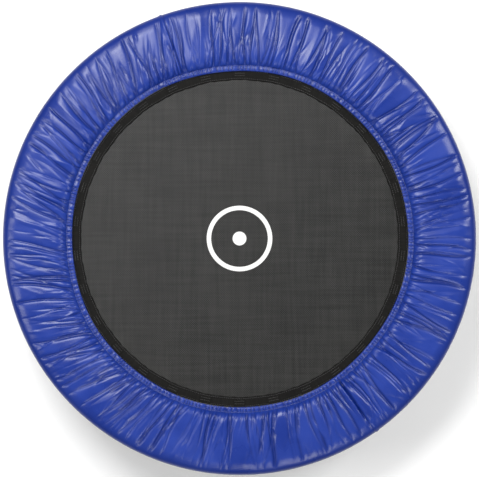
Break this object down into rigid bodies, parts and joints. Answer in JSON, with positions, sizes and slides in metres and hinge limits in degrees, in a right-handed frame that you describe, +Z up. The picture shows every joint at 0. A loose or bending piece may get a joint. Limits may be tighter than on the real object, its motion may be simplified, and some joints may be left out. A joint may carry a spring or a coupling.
{
  "type": "mini trampoline",
  "caption": "Low round exercise trampoline: black woven mat on steel springs in a tube ring, blue padded spring cover, and legs that fold flat under it",
  "frame": {"origin": "on the floor under the middle of the mat", "axes": "+Z up; the ring is round about Z; +X points to a leg"},
  "size_m": [0.96, 0.96, 0.23],
  "materials": {
    "painted_steel": "black powder coat, satin",
    "zinc_steel": "zinc plated, dull",
    "cover_cloth": "blue vinyl-coated cloth, soft sheen",
    "foam": "white closed-cell foam",
    "elastic": "braided elastic",
    "mat_weave": "woven black plastic yarn",
    "webbing": "black ribbed webbing",
    "foot_rubber": "black moulded rubber",
    "plug_plastic": "black moulded plastic"
  },
  "bodies": {
    "frame": {"frame_section_1": "painted_steel", "frame_section_2": "painted_steel", "frame_section_3": "painted_steel", "section_screws": "zinc_steel", "leg_bracket_1": "painted_steel", "leg_bracket_2": "painted_steel", "leg_bracket_3": "painted_steel", "leg_bracket_4": "painted_steel", "leg_bracket_5": "painted_steel", "leg_bracket_6": "painted_steel", "pivot_bolts": "zinc_steel", "pivot_nuts": "zinc_steel", "pivot_washers": "zinc_steel", "stop_pins": "zinc_steel", "springs": "zinc_steel", "cover_panel_1": "cover_cloth", "cover_panel_2": "cover_cloth", "cover_foam_1": "foam", "cover_foam_2": "foam", "cover_foam_3": "foam", "cover_foam_4": "foam", "cover_foam_5": "foam", "cover_foam_6": "foam", "inner_elastic": "elastic", "outer_elastic": "elastic"},
    "mat": {"mat_fabric": "mat_weave", "edge_binding": "webbing", "ring_tabs": "webbing", "vee_rings": "zinc_steel"},
    "leg_1": {"leg_tube_1": "painted_steel", "leg_plug_1": "plug_plastic", "foot_cap_1": "foot_rubber"},
    "leg_2": {"leg_tube_2": "painted_steel", "leg_plug_2": "plug_plastic", "foot_cap_2": "foot_rubber"},
    "leg_3": {"leg_tube_3": "painted_steel", "leg_plug_3": "plug_plastic", "foot_cap_3": "foot_rubber"},
    "leg_4": {"leg_tube_4": "painted_steel", "leg_plug_4": "plug_plastic", "foot_cap_4": "foot_rubber"},
    "leg_5": {"leg_tube_5": "painted_steel", "leg_plug_5": "plug_plastic", "foot_cap_5": "foot_rubber"},
    "leg_6": {"leg_tube_6": "painted_steel", "leg_plug_6": "plug_plastic", "foot_cap_6": "foot_rubber"}
  },
  "joints": [
    {"name": "leg_1_fold", "type": "hinge", "parent": "frame", "child": "leg_1", "pos_m": [-0.2265, 0.39231, 0.18405], "axis": [-0.866, -0.5, 0], "range_deg": [0, 93]},
    {"name": "leg_2_fold", "type": "hinge", "parent": "frame", "child": "leg_2", "pos_m": [-0.453, 0, 0.18405], "axis": [0, -1, 0], "range_deg": [0, 93]},
    {"name": "leg_3_fold", "type": "hinge", "parent": "frame", "child": "leg_3", "pos_m": [-0.2265, -0.39231, 0.18405], "axis": [0.866, -0.5, 0], "range_deg": [0, 93]},
    {"name": "leg_4_fold", "type": "hinge", "parent": "frame", "child": "leg_4", "pos_m": [0.2265, -0.39231, 0.18405], "axis": [0.866, 0.5, 0], "range_deg": [0, 93]},
    {"name": "leg_5_fold", "type": "hinge", "parent": "frame", "child": "leg_5", "pos_m": [0.453, 0, 0.18405], "axis": [0, 1, 0], "range_deg": [0, 93]},
    {"name": "leg_6_fold", "type": "hinge", "parent": "frame", "child": "leg_6", "pos_m": [0.2265, 0.39231, 0.18405], "axis": [-0.866, 0.5, 0], "range_deg": [0, 93]},
    {"name": "mat_bounce", "type": "slide", "parent": "frame", "child": "mat", "axis": [0, 0, 1], "range_m": [-0.06, 0], "stiffness_N_per_m": 14000, "deforming": ["springs"]}
  ]
}
